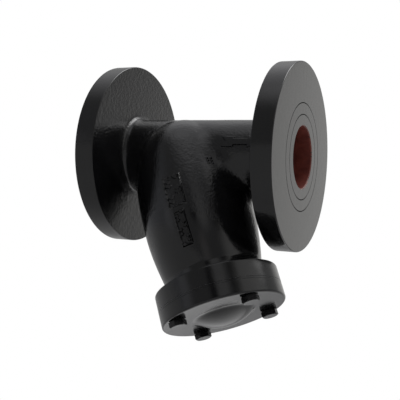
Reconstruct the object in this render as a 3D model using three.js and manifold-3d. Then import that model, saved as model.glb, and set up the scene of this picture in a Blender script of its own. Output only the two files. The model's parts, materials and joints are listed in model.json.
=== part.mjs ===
// Flanged cast-iron Y strainer, DN 50, with a bolted cover and a removable screen.
//
// Frame: millimetres, +Z up, origin on the pipe axis midway between the two flange faces.
// The pipe runs along X and the fluid flows towards +X. The screen leg points down and leans
// towards the outlet, in the XZ plane.

import * as THREE from 'three';
import { mergeVertices } from 'three/addons/utils/BufferGeometryUtils.js';
import Module from 'manifold-3d';

const wasm = await Module();
wasm.setup();

// ---- Driving dimensions -------------------------------------------------------------------

const FACE_TO_FACE = 180;
const FLANGE_RADIUS = 82.5;
const FLANGE_THICKNESS = 18;
const FLANGE_FACE_GROOVES = [37, 47]; // radii of the two fine turned grooves
const BORE_RADIUS = 27;
const BARREL_RADIUS = 32.5;

const LEG_ANGLE = THREE.MathUtils.degToRad(65); // from the pipe axis, downwards
const LEG_CROSSING_X = -27; // where the leg axis meets the pipe axis
const LEG_WALL = 7.5;
const LEG_BULGE_START = 15; // distance along the leg where the round shoulder ends
const LEG_SHOULDER_RADIUS = 46;
const LEG_BELLY_RADIUS = 50;
const LEG_NECK_RADIUS = 43;
const LEG_NECK_AT = 121;

const SEAT_TOP = 6; // the ring cast inside the body, on which the screen seats
const SEAT_THICKNESS = 6;
const SEAT_HOLE_RADIUS = 26;
const ELBOW_WALL = 6.5;

const COVER_RADIUS = 54;
const LEG_FLANGE_BACK = 129.3;
const LEG_FLANGE_FACE = 144.2;
const LEG_MOUTH_RADIUS = 34;
const GASKET_THICKNESS = 1.2;
const GASKET_RADIUS = 52.6;
const COVER_THICKNESS = 12;
const DOME_RADIUS = 26.5;
const DOME_HEIGHT = 9;
const DOME_WALL = 7;
const COVER_RECESS_DEPTH = 3;

const BOLT_CIRCLE_RADIUS = 45;
const BOLT_FIRST_ANGLE = THREE.MathUtils.degToRad(49); // about the leg axis, from the outlet side
const BOLT_COUNT = 4;
const BOLT_RADIUS = 4; // M8
const BOLT_LENGTH = 25;
const BOLT_CLEARANCE_RADIUS = 4.5; // holes through the cover and the gasket
const TAPPED_HOLE_DEPTH = 12.4;
const BOLT_HEAD_HEIGHT = 5.3;
const BOLT_HEAD_ACROSS_FLATS = 13;

const SCREEN_RADIUS = 29;
const SCREEN_SHEET = 1.2;
const SCREEN_BAND_LENGTH = 9;
const SCREEN_BAND_SHEET = 1.6;
const SCREEN_FACETS = 16; // the rolled sheet has one hole on every other facet of each row
const SCREEN_HOLE_RADIUS = 3.8;
const SCREEN_HOLE_ROWS = 8;
const LINER_SHEET = 0.8;

const GAP = 0.3; // between two pieces that touch

const PIPE_FACETS = 48;
const LEG_FACETS = 40;
const HOLE_FACETS = 16;

// ---- Places worked out from the driving dimensions -------------------------------------------

const HALF_LENGTH = FACE_TO_FACE / 2;
const SEAT_BOTTOM = SEAT_TOP + SEAT_THICKNESS;
const COVER_INNER_FACE = LEG_FLANGE_FACE + GASKET_THICKNESS + 2 * GAP;
const COVER_OUTER_FACE = COVER_INNER_FACE + COVER_THICKNESS;
const SCREEN_BAND_RADIUS = SCREEN_RADIUS + GAP + SCREEN_BAND_SHEET;
const SCREEN_RECESS_RADIUS = SCREEN_BAND_RADIUS + 0.5;
const SCREEN_TOP = SEAT_BOTTOM - 3 + GAP;
const SCREEN_END = COVER_INNER_FACE + COVER_RECESS_DEPTH - GAP;

// ---- Materials -----------------------------------------------------------------------------

const blackEnamel = new THREE.MeshStandardMaterial({ color: 0x0d0d0e, roughness: 0.22, metalness: 0 });
const gasketSheet = new THREE.MeshStandardMaterial({ color: 0x151514, roughness: 0.8, metalness: 0 });
const boltSteel = new THREE.MeshStandardMaterial({ color: 0x3a3b3d, roughness: 0.4, metalness: 0.8 });
const stainless = new THREE.MeshStandardMaterial({ color: 0xb9babb, roughness: 0.3, metalness: 1 });
const wovenWire = new THREE.MeshStandardMaterial({ color: 0x8f9193, roughness: 0.45, metalness: 1 });

// ---- Solids and meshes -----------------------------------------------------------------------

/** Turns a closed three.js geometry into a manifold-3d solid. */
function solid(geometry) {
  const bare = geometry.clone();
  bare.deleteAttribute('normal');
  bare.deleteAttribute('uv');
  const merged = mergeVertices(bare, 1e-5);
  const corners = merged.index.array;
  const triangles = [];
  for (let i = 0; i < corners.length; i += 3) {
    const [a, b, c] = [corners[i], corners[i + 1], corners[i + 2]];
    if (a !== b && b !== c && c !== a) triangles.push(a, b, c);
  }
  return new wasm.Manifold(new wasm.Mesh({
    numProp: 3,
    vertProperties: new Float32Array(merged.attributes.position.array),
    triVerts: new Uint32Array(triangles),
  }));
}

/** Turns a manifold-3d solid into a named mesh. */
function meshOf(name, body, material) {
  const { vertProperties, triVerts } = body.getMesh();
  const geometry = new THREE.BufferGeometry();
  geometry.setAttribute('position', new THREE.BufferAttribute(vertProperties, 3));
  geometry.setIndex(new THREE.BufferAttribute(triVerts, 1));
  geometry.computeVertexNormals();
  const mesh = new THREE.Mesh(geometry, material);
  mesh.name = name;
  return mesh;
}

/** A solid of revolution about Y. The profile lists [radius, distance along the axis]. */
function turned(profile, segments = LEG_FACETS) {
  return new THREE.LatheGeometry(profile.map(([r, y]) => new THREE.Vector2(r, y)), segments);
}

/** A plain turned ring, or a disc where the inner radius is 0. */
function ring(inner, outer, from, to, segments = LEG_FACETS) {
  const profile = [[inner, from], [outer, from], [outer, to], [inner, to]];
  if (inner > 0) profile.push([inner, from]);
  return turned(profile, segments);
}

/** Points of an arc in a profile, from one angle to another, in degrees from the radius direction. */
function arc(centreR, centreY, radius, from, to, steps) {
  const points = [];
  for (let i = 0; i <= steps; i += 1) {
    const angle = THREE.MathUtils.degToRad(from + ((to - from) * i) / steps);
    points.push([centreR + radius * Math.cos(angle), centreY + radius * Math.sin(angle)]);
  }
  return points;
}

// The leg frame: its Y axis runs down the leg, and its X axis points towards the outlet.
const legFrame = new THREE.Matrix4().makeBasis(
  new THREE.Vector3(Math.sin(LEG_ANGLE), 0, Math.cos(LEG_ANGLE)),
  new THREE.Vector3(Math.cos(LEG_ANGLE), 0, -Math.sin(LEG_ANGLE)),
  new THREE.Vector3(0, 1, 0),
).setPosition(LEG_CROSSING_X, 0, 0);

// The pipe frame: its Y axis runs along the flow.
const pipeFrame = new THREE.Matrix4().makeRotationZ(-Math.PI / 2);

const onLeg = (geometry) => geometry.clone().applyMatrix4(legFrame);
const onPipe = (geometry) => geometry.clone().applyMatrix4(pipeFrame);

/** A box in the leg frame that fills everything up to a distance along the leg. */
function aboveOnLeg(distance) {
  const size = 4 * HALF_LENGTH;
  return new THREE.BoxGeometry(size, size, size).translate(0, distance - size / 2, 0);
}

// ---- Body ----------------------------------------------------------------------------------

/** Outer radius of the leg between its shoulder and its neck: a shallow barrel bulge. */
function legRadius(distance) {
  const bellyAt = 62;
  if (distance < bellyAt) {
    const t = (bellyAt - distance) / (bellyAt - LEG_BULGE_START);
    return LEG_BELLY_RADIUS - (LEG_BELLY_RADIUS - LEG_SHOULDER_RADIUS) * t * t;
  }
  const t = (distance - bellyAt) / (LEG_NECK_AT - bellyAt);
  return LEG_BELLY_RADIUS - (LEG_BELLY_RADIUS - LEG_NECK_RADIUS) * t * t;
}

/** The side of the leg as profile points, grown by an amount (negative for the cavity). */
function legSide(from, to, steps, grow) {
  const points = [];
  for (let i = 0; i <= steps; i += 1) {
    const distance = from + ((to - from) * i) / steps;
    points.push([legRadius(distance) + grow, distance]);
  }
  return points;
}

/** One half of the pipe's outer profile, mirrored by the sign: flange, root fillet, barrel. */
function pipeProfile(sign) {
  const flangeBack = HALF_LENGTH - FLANGE_THICKNESS;
  const rim = 1.2;
  const fillet = 6;
  const half = [[0, HALF_LENGTH]];
  for (const groove of FLANGE_FACE_GROOVES) {
    const width = 0.5;
    const depth = 0.6;
    half.push([groove - width, HALF_LENGTH], [groove, HALF_LENGTH - depth], [groove + width, HALF_LENGTH]);
  }
  half.push([FLANGE_RADIUS - rim, HALF_LENGTH], [FLANGE_RADIUS, HALF_LENGTH - rim]);
  half.push([FLANGE_RADIUS, flangeBack + rim], [FLANGE_RADIUS - rim, flangeBack]);
  half.push(...arc(BARREL_RADIUS + fillet, flangeBack - fillet, fillet, 90, 180, 4));
  return half.map(([r, y]) => [r, sign * y]);
}

function bodyOuter() {
  const pipe = turned([...pipeProfile(-1), ...pipeProfile(1).reverse()], PIPE_FACETS);
  const shoulder = arc(0, LEG_BULGE_START, LEG_SHOULDER_RADIUS, -90, 0, 7);
  const fillet = 3.5;
  const rim = 1.2;
  const leg = turned([
    ...shoulder.slice(0, -1),
    ...legSide(LEG_BULGE_START, LEG_NECK_AT, 7, 0),
    ...arc(LEG_NECK_RADIUS + fillet, LEG_FLANGE_BACK - fillet, fillet, 180, 90, 3),
    [COVER_RADIUS - rim, LEG_FLANGE_BACK],
    [COVER_RADIUS, LEG_FLANGE_BACK + rim],
    [COVER_RADIUS, LEG_FLANGE_FACE - rim / 2],
    [COVER_RADIUS - rim / 2, LEG_FLANGE_FACE],
    [0, LEG_FLANGE_FACE],
  ]);
  return solid(onPipe(pipe)).add(solid(onLeg(leg)));
}

/** The water space between the inlet and the screen's open end, above the seat ring. */
function inletCavity() {
  const bore = solid(onPipe(ring(0, BORE_RADIUS, -HALF_LENGTH - 1, HALF_LENGTH - 40)));
  const upstream = new THREE.BoxGeometry(HALF_LENGTH, 90, 90);
  upstream.translate(LEG_CROSSING_X - HALF_LENGTH / 2, 0, 0);
  const overScreen = solid(onLeg(ring(0, BORE_RADIUS, -60, SEAT_TOP)));
  const reach = solid(upstream).add(overScreen);
  return bore.intersect(reach).intersect(solid(onLeg(aboveOnLeg(SEAT_TOP))));
}

/** The water space around the screen and out to the outlet, below the seat ring. */
function outletCavity() {
  const insideLeg = solid(onLeg(turned([
    [0, SEAT_BOTTOM],
    [legRadius(SEAT_BOTTOM) - LEG_WALL - 4, SEAT_BOTTOM],
    ...legSide(SEAT_BOTTOM + 4, LEG_NECK_AT - 12, 6, -LEG_WALL),
    [LEG_MOUTH_RADIUS, LEG_NECK_AT],
    [LEG_MOUTH_RADIUS, LEG_FLANGE_FACE + 1],
    [0, LEG_FLANGE_FACE + 1],
  ])));
  const bore = solid(onPipe(ring(0, BORE_RADIUS, LEG_CROSSING_X, HALF_LENGTH + 1)));
  const elbow = solid(onLeg(ring(0, BORE_RADIUS + ELBOW_WALL, -60, SEAT_BOTTOM)));
  return insideLeg.add(bore.subtract(elbow));
}

/** The hole in the seat ring, with the recess that takes the end band of the screen. */
function seatHole() {
  const hole = ring(0, SEAT_HOLE_RADIUS, SEAT_TOP - 2, SEAT_BOTTOM + 1);
  const recess = ring(0, SCREEN_RECESS_RADIUS, SEAT_BOTTOM - 3, SEAT_BOTTOM + 1);
  return solid(onLeg(hole)).add(solid(onLeg(recess)));
}

/** Places a geometry, made about the leg axis, at one bolt of the cover. */
function atBolt(geometry, index) {
  const angle = BOLT_FIRST_ANGLE + (index * 2 * Math.PI) / BOLT_COUNT;
  const x = BOLT_CIRCLE_RADIUS * Math.cos(angle);
  const z = BOLT_CIRCLE_RADIUS * Math.sin(angle);
  return geometry.clone().translate(x, 0, z);
}

/** Subtracts one round hole at each bolt, between two distances along the leg. */
function drillAtBolts(body, radius, from, to) {
  let drilled = body;
  for (let i = 0; i < BOLT_COUNT; i += 1) {
    drilled = drilled.subtract(solid(onLeg(atBolt(ring(0, radius, from, to, HOLE_FACETS), i))));
  }
  return drilled;
}

/** The cast flow arrow on the near side of the barrel, pointing towards the outlet. */
function flowArrow() {
  const shape = new THREE.Shape();
  const points = [[26, 5], [37, 5], [38.5, 3], [50, 3], [50, 6.5], [60.5, 0]];
  shape.moveTo(29.5, 0);
  for (const [x, z] of points) shape.lineTo(x, z);
  for (const [x, z] of points.slice(0, -1).reverse()) shape.lineTo(x, -z);
  const prism = new THREE.ExtrudeGeometry(shape, { depth: 20, bevelEnabled: false });
  prism.translate(0, 1.5, 0).rotateX(Math.PI / 2).translate(0, -BARREL_RADIUS + 6, 0);
  return prism;
}

/** Two plain raised pads along the near side of the leg. */
function legPads() {
  const pads = [];
  const depth = 14;
  for (const [from, to, width] of [[41, 70, 15], [74, 105, 9.5]]) {
    const pad = new THREE.BoxGeometry(width, to - from, depth);
    pad.translate(0, (from + to) / 2, -LEG_BELLY_RADIUS + depth / 2 - 1);
    pads.push(pad);
  }
  return pads;
}

/** Adds the cast marks, which stand slightly proud of the surface that carries them. */
function addCastMarks(body) {
  const proud = 1;
  const barrelSkin = solid(onPipe(ring(0, BARREL_RADIUS + proud, 0, HALF_LENGTH - FLANGE_THICKNESS, PIPE_FACETS)));
  const legSkin = solid(onLeg(turned([
    [0, LEG_BULGE_START],
    ...legSide(LEG_BULGE_START, LEG_NECK_AT, 7, proud),
    [0, LEG_NECK_AT],
  ])));
  let marked = body.add(solid(flowArrow()).intersect(barrelSkin));
  for (const pad of legPads()) marked = marked.add(solid(onLeg(pad)).intersect(legSkin));
  return marked;
}

function bodyCasting() {
  const cast = addCastMarks(bodyOuter());
  const hollow = cast.subtract(outletCavity()).subtract(inletCavity()).subtract(seatHole());
  const drilled = drillAtBolts(hollow, BOLT_RADIUS + GAP, LEG_FLANGE_FACE - TAPPED_HOLE_DEPTH, LEG_FLANGE_FACE + 1);
  return meshOf('body_casting', drilled, blackEnamel);
}

// ---- Cover, gasket and bolts ---------------------------------------------------------------------

/** A spherical cap as profile points, from its base circle to its top on the axis. */
function capProfile(baseRadius, height, baseAt, steps) {
  const sphere = (baseRadius * baseRadius + height * height) / (2 * height);
  const half = THREE.MathUtils.radToDeg(Math.asin(baseRadius / sphere));
  const points = arc(0, baseAt + height - sphere, sphere, 90 - half, 90, steps);
  points[points.length - 1][0] = 0;
  return points;
}

function strainerCover() {
  const rim = 1.5;
  const recessFloor = COVER_INNER_FACE + COVER_RECESS_DEPTH;
  const domeTop = COVER_OUTER_FACE + DOME_HEIGHT;
  const hollowRadius = 22;
  const hollow = capProfile(hollowRadius, domeTop - DOME_WALL - recessFloor, recessFloor, 5).reverse();
  const profile = [
    ...hollow,
    [SCREEN_RECESS_RADIUS, recessFloor],
    [SCREEN_RECESS_RADIUS, COVER_INNER_FACE],
    [COVER_RADIUS - rim / 2, COVER_INNER_FACE],
    [COVER_RADIUS, COVER_INNER_FACE + rim / 2],
    ...arc(COVER_RADIUS - rim, COVER_OUTER_FACE - rim, rim, 0, 90, 2),
    ...capProfile(DOME_RADIUS, DOME_HEIGHT, COVER_OUTER_FACE, 7),
  ];
  const cast = solid(onLeg(turned(profile)));
  const drilled = drillAtBolts(cast, BOLT_CLEARANCE_RADIUS, COVER_INNER_FACE - 1, COVER_OUTER_FACE + 1);
  return meshOf('strainer_cover', drilled, blackEnamel);
}

function coverGasket() {
  const from = LEG_FLANGE_FACE + GAP;
  const to = from + GASKET_THICKNESS;
  const sheet = solid(onLeg(ring(LEG_MOUTH_RADIUS, GASKET_RADIUS, from, to)));
  return meshOf('cover_gasket', drillAtBolts(sheet, BOLT_CLEARANCE_RADIUS, from - 1, to + 1), gasketSheet);
}

function coverBolt(index) {
  const headFrom = COVER_OUTER_FACE + GAP;
  const corner = BOLT_HEAD_ACROSS_FLATS / Math.sqrt(3);
  const head = ring(0, corner, headFrom, headFrom + BOLT_HEAD_HEIGHT, 6);
  const tip = headFrom - BOLT_LENGTH;
  const point = 1;
  const shank = turned([
    [0, tip],
    [BOLT_RADIUS - point, tip],
    [BOLT_RADIUS, tip + point],
    [BOLT_RADIUS, headFrom + 1],
    [0, headFrom + 1],
  ], HOLE_FACETS);
  const bolt = solid(onLeg(atBolt(head, index))).add(solid(onLeg(atBolt(shank, index))));
  return meshOf(`cover_bolt_${index + 1}`, bolt, boltSteel);
}

// ---- Screen -------------------------------------------------------------------------------------

function screenTube() {
  const from = SCREEN_TOP + SCREEN_BAND_SHEET + GAP;
  const to = SCREEN_END - SCREEN_BAND_SHEET - GAP;
  let tube = solid(onLeg(ring(SCREEN_RADIUS - SCREEN_SHEET, SCREEN_RADIUS, from, to, SCREEN_FACETS)));
  const firstRow = SCREEN_TOP + SCREEN_BAND_LENGTH + 8;
  const lastRow = SCREEN_END - SCREEN_BAND_LENGTH - 8;
  for (let row = 0; row < SCREEN_HOLE_ROWS; row += 1) {
    const distance = firstRow + ((lastRow - firstRow) * row) / (SCREEN_HOLE_ROWS - 1);
    for (let facet = row % 2; facet < SCREEN_FACETS; facet += 2) {
      const angle = ((facet + 0.5) * 2 * Math.PI) / SCREEN_FACETS;
      const punch = new THREE.CylinderGeometry(SCREEN_HOLE_RADIUS, SCREEN_HOLE_RADIUS, 6, 6);
      punch.rotateZ(Math.PI / 2).translate(SCREEN_RADIUS, 0, 0).rotateY(angle).translate(0, distance, 0);
      tube = tube.subtract(solid(onLeg(punch)));
    }
  }
  return meshOf('screen_tube', tube, stainless);
}

/** An end band of the screen: a short sleeve outside the tube with a lip over the tube's end. */
function screenBand(name, end, inwards) {
  const lip = end + inwards * SCREEN_BAND_SHEET;
  const sleeveEnd = end + inwards * SCREEN_BAND_LENGTH;
  const lipRadius = SCREEN_RADIUS - SCREEN_SHEET - LINER_SHEET - 2 * GAP;
  const profile = [
    [lipRadius, end],
    [SCREEN_BAND_RADIUS, end],
    [SCREEN_BAND_RADIUS, sleeveEnd],
    [SCREEN_RADIUS + GAP, sleeveEnd],
    [SCREEN_RADIUS + GAP, lip],
    [lipRadius, lip],
    [lipRadius, end],
  ];
  if (inwards < 0) profile.reverse();
  return meshOf(name, solid(onLeg(turned(profile))), stainless);
}

function meshLiner() {
  const outer = SCREEN_RADIUS - SCREEN_SHEET - GAP;
  const from = SCREEN_TOP + SCREEN_BAND_SHEET + GAP;
  const to = SCREEN_END - SCREEN_BAND_SHEET - GAP;
  return meshOf('mesh_liner', solid(onLeg(ring(outer - LINER_SHEET, outer, from, to, SCREEN_FACETS))), wovenWire);
}

// ---- Assembly ------------------------------------------------------------------------------------

const strainer = new THREE.Group();
strainer.add(bodyCasting(), strainerCover(), coverGasket());
for (let i = 0; i < BOLT_COUNT; i += 1) strainer.add(coverBolt(i));
strainer.add(
  screenTube(),
  screenBand('screen_top_ring', SCREEN_TOP, 1),
  screenBand('screen_bottom_ring', SCREEN_END, -1),
  meshLiner(),
);

export default strainer;
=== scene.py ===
"""Looks of a flanged cast-iron Y strainer: black castings, a bolted domed cover and a stainless screen.

Shapes are worked out in millimetres in the part's own frame (X along the flow, Z up, origin midway
between the flange faces) and turned into metres when a mesh is made. The leg has a frame of its own: its
distance is measured down the leg axis from where that axis meets the pipe axis.
"""

import json
import math

import bmesh
import bpy
import numpy as np
from mathutils import Matrix, Vector


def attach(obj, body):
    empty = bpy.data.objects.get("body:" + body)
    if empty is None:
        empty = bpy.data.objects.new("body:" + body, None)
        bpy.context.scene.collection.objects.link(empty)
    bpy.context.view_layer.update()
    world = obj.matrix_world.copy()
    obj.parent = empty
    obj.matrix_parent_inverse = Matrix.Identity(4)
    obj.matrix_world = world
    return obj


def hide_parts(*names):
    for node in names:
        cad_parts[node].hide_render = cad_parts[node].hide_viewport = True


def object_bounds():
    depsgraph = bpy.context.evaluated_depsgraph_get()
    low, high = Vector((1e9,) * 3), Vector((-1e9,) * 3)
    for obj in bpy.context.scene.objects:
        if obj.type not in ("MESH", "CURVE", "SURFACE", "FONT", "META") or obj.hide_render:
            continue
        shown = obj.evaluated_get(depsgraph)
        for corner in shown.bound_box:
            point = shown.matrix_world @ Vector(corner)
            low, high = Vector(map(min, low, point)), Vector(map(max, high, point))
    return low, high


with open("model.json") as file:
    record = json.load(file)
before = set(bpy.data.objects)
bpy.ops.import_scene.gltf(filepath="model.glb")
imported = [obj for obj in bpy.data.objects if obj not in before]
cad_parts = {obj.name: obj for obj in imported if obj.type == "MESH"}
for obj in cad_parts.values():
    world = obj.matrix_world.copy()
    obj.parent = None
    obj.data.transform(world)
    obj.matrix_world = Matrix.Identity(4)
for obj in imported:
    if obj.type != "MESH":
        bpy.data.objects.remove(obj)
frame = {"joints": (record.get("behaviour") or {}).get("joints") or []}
cad_low, cad_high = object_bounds()

MM = 0.001

# ---- Sizes, in millimetres, from the frame where it gives them -----------------------------------

HALF_LENGTH = cad_high.x / MM
FLANGE_RADIUS = cad_high.y / MM
FLANGE_THICKNESS = 18.0
FLANGE_BACK = HALF_LENGTH - FLANGE_THICKNESS
FLANGE_FILLET = 6.5
GROOVE_RADII = (37.0, 47.0)
GROOVE_HALF_WIDTH = 0.42
GROOVE_DEPTH = 1.1
BORE_RADIUS = 27.0
BORE_CHAMFER = 0.8
BARREL_RADIUS = 32.5
EDGE_BREAK = 0.9
EDGE_TURN = 70.0

LEG_ORIGIN = np.array([-27.0, 0.0, 0.0])
LEG_DOWN = np.array(frame["joints"][0]["axis"], float)
LEG_ACROSS = np.array([-LEG_DOWN[2], 0.0, LEG_DOWN[0]])
LEG_SIDE = np.array([0.0, 1.0, 0.0])
SHOULDER_END = 9.5
SHOULDER_CENTRE = 16.5
SHOULDER_RADIUS = 46.53
LEG_TOP_RADIUS = 46.0
LEG_BLEND = 16.0
BELLY_AT = 62.0
BELLY_RADIUS = 50.0
NECK_AT = 121.0
NECK_RADIUS = 43.0
LEG_WALL = 7.5
MOUTH_RADIUS = 34.0
SEAT_TOP = 6.0
SEAT_BOTTOM = 12.0
SEAT_HOLE_RADIUS = 26.0
SEAT_REST = 9.0
ELBOW_RADIUS = 33.5

COVER_RADIUS = 54.0
LEG_FLANGE_BACK = 129.3
LEG_FLANGE_FACE = 144.2
LEG_FLANGE_FILLET = 4.5
GASKET_FROM = 144.25
GASKET_TO = 145.95
SEAM_EDGE = 0.1
COVER_INNER = 146.0
COVER_OUTER = 158.0
COVER_RECESS = 3.0
COVER_EDGE = 1.8
DOME_RADIUS = 26.5
DOME_HEIGHT = 9.0
DOME_WALL = 7.0
DOME_FOOT = 33.0
DOME_FOOT_BLEND = 1.2
HOLLOW_RADIUS = 22.0

BOLT_CIRCLE = 45.0
BOLT_FIRST_ANGLE = 49.0
BOLT_RADIUS = 4.0
BOLT_PITCH = 1.25
BOLT_THREAD_DEPTH = 0.6
BOLT_PLAIN_LENGTH = 3.0
BOLT_TIP = 133.3
BOLT_HEAD_FROM = 158.3
BOLT_HEAD_HEIGHT = 5.3
BOLT_ACROSS_FLATS = 13.0
CLEARANCE_RADIUS = 4.5
TAPPED_RADIUS = 4.25
TAPPED_FROM = 132.0
TAPPED_CHAMFER = 0.5

SCREEN_RADIUS = 29.0
SCREEN_SHEET = 1.2
SCREEN_FROM = 9.3
SCREEN_TO = 148.7
BAND_RADIUS = 30.9
BAND_LENGTH = 9.0
RECESS_RADIUS = 31.4

# Cast marks on the near side. The arrow's places are along the pipe, the others' down the leg.
MARK_HEIGHT = 1.3
MARK_EDGE = 0.8
ARROW_LIFT = 1.5
ARROW_TAIL = (26.0, 37.4)
ARROW_TAIL_HALF = 5.0
ARROW_NOTCH = 29.5
ARROW_SHAFT = (35.5, 51.5)
ARROW_SHAFT_HALF = 3.0
ARROW_HEAD = (50.0, 60.5)
UPPER_PLATE = {"start": 41.0, "end": 70.0, "width": 16.0, "rows": 4}
UPPER_PLATE_ACROSS = 1.2
LOWER_PLATE = {"start": 74.0, "end": 105.0, "width": 10.0, "rows": 5}
LOWER_PLATE_ACROSS = 0.6
BEADS_DOWN = 35.0
BEADS_ANGLE = 44.0
BEADS_LEG_RADIUS = 47.0
BEADS_GAP = (2.6, 1.4)
BEAD_RADIUS = 0.9

# How far a cutter reaches where it must clear the whole casting.
CLEAR_LENGTH = 160.0
CLEAR_RADIUS = 260.0


# ---- Placing -------------------------------------------------------------------------------------


def on_leg(points):
    """Points given as (across, down, side) in the leg's frame, as points of the part's frame."""
    points = np.asarray(points, float)
    axes = np.array([LEG_ACROSS, LEG_DOWN, LEG_SIDE])
    return points @ axes + LEG_ORIGIN


def on_pipe(points):
    """Points of a shape turned about its own Y axis, laid along the pipe."""
    points = np.asarray(points, float)
    return np.stack([points[:, 1], points[:, 2], points[:, 0]], 1)


def leg_coordinates(points):
    """Distance down the leg and distance from the leg axis, with the unit vector away from that axis."""
    offset = points - LEG_ORIGIN
    down = offset @ LEG_DOWN
    outward = offset - down[:, None] * LEG_DOWN
    radius = np.linalg.norm(outward, axis=1)
    return down, radius, outward / np.maximum(radius, 1e-9)[:, None]


# ---- Meshes --------------------------------------------------------------------------------------


def make_object(name, points, faces):
    """A mesh object from points in millimetres."""
    mesh = bpy.data.meshes.new(name)
    mesh.from_pydata((np.asarray(points) * MM).tolist(), [], [list(map(int, f)) for f in faces])
    mesh.update()
    built = bpy.data.objects.new(name, mesh)
    bpy.context.scene.collection.objects.link(built)
    return built


def shade(built, angle=30.0, weighted=True):
    """Smooth shading that breaks at edges sharper than the angle, with flat faces kept flat."""
    built.data.shade_smooth()
    built.data.set_sharp_from_angle(angle=math.radians(angle))
    if weighted:
        normals = built.modifiers.new("flat faces stay flat", "WEIGHTED_NORMAL")
        normals.keep_sharp = True
        normals.weight = 90


def ring_faces(rings, count, closed):
    """Quads between successive rings of equal size, and from the last ring to the first if closed."""
    faces = []
    for i in range(rings if closed else rings - 1):
        low, high = i * count, ((i + 1) % rings) * count
        for j in range(count):
            k = (j + 1) % count
            faces.append((low + j, low + k, high + k, high + j))
    return faces


def turned(profile, segments=192):
    """Points and faces of a solid of revolution about Y. A profile that starts and ends on the axis gets
    poles, and any other profile is a closed loop. The profile runs up its outer side."""
    poles = profile[0][0] == 0
    rows = profile[1:-1] if poles else profile
    angles = np.arange(segments) * 2 * math.pi / segments
    points = [[r * math.sin(a), y, r * math.cos(a)] for r, y in rows for a in angles]
    faces = ring_faces(len(rows), segments, closed=not poles)
    if poles:
        first, last = len(points), len(points) + 1
        points += [[0, profile[0][1], 0], [0, profile[-1][1], 0]]
        top = (len(rows) - 1) * segments
        for j in range(segments):
            k = (j + 1) % segments
            faces.append((first, k, j))
            faces.append((last, top + j, top + k))
    return np.array(points), faces


def arc(centre_r, centre_y, radius, start, end, steps):
    """Profile points along an arc. Angles are in degrees from the outward direction."""
    angles = np.radians(np.linspace(start, end, steps + 1))
    return [(centre_r + radius * math.cos(a), centre_y + radius * math.sin(a)) for a in angles]


def carve(target, tool, operation="DIFFERENCE"):
    """Applies one boolean to the target and removes the tool."""
    modifier = target.modifiers.new("carve", "BOOLEAN")
    modifier.object = tool
    modifier.operation = operation
    modifier.solver = "MANIFOLD"
    depsgraph = bpy.context.evaluated_depsgraph_get()
    mesh = bpy.data.meshes.new_from_object(target.evaluated_get(depsgraph))
    target.modifiers.clear()
    target.data = mesh
    bpy.data.objects.remove(tool)


def hole_tool(radius, start, end, across, side, chamfer=0.0):
    """A drill along the leg, widened at its far end by a chamfer if there is one."""
    profile = [(0, start), (radius, start), (radius, end - chamfer)]
    if chamfer:
        profile.append((radius + 2 * chamfer, end + chamfer))
    points, faces = turned(profile + [(0, profile[-1][1])], 48)
    return make_object("hole tool", on_leg(points + np.array([across, 0, side])), faces)


def bolt_places():
    """Across and side positions of the cover bolts, in the order of their node names."""
    for i in range(4):
        angle = math.radians(BOLT_FIRST_ANGLE + 90 * i)
        yield BOLT_CIRCLE * math.cos(angle), BOLT_CIRCLE * math.sin(angle)


# ---- Cast surfaces as fields: negative inside, zero on the surface -------------------------------


def smooth_min(a, b, width):
    """The smaller of two fields, with a fillet where they are closer than the width."""
    closeness = np.maximum(width - np.abs(a - b), 0.0) / np.maximum(width, 1e-6)
    return np.minimum(a, b) - closeness * closeness * width / 4


def smooth_max(a, b, width):
    """The larger of two fields, with a fillet where they are closer than the width."""
    return -smooth_min(-a, -b, width)


def leg_radius(down):
    """Outer radius of the leg, and its slope, from the shoulder to the neck."""
    upper = (BELLY_AT - down) / (BELLY_AT - SHOULDER_END)
    lower = (down - BELLY_AT) / (NECK_AT - BELLY_AT)
    rise = BELLY_RADIUS - LEG_TOP_RADIUS
    fall = BELLY_RADIUS - NECK_RADIUS
    radius = BELLY_RADIUS - np.where(down < BELLY_AT, rise * upper**2, fall * np.minimum(lower, 1.0) ** 2)
    slope = np.where(
        down < BELLY_AT,
        2 * rise * upper / (BELLY_AT - SHOULDER_END),
        np.where(lower < 1.0, -2 * fall * lower / (NECK_AT - BELLY_AT), 0.0),
    )
    return radius, slope


def rectangle(s, t, centre, half):
    """Distance to a rectangle in a plane."""
    over_s = np.abs(s - centre[0]) - half[0]
    over_t = np.abs(t - centre[1]) - half[1]
    outside = np.hypot(np.maximum(over_s, 0), np.maximum(over_t, 0))
    return outside + np.minimum(np.maximum(over_s, over_t), 0)


def disc(along, radius, start, end, outer):
    """A disc about an axis, as a field of the distance along the axis and from it."""
    return rectangle(along, radius, ((start + end) / 2, 0.0), ((end - start) / 2, outer))


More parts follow.
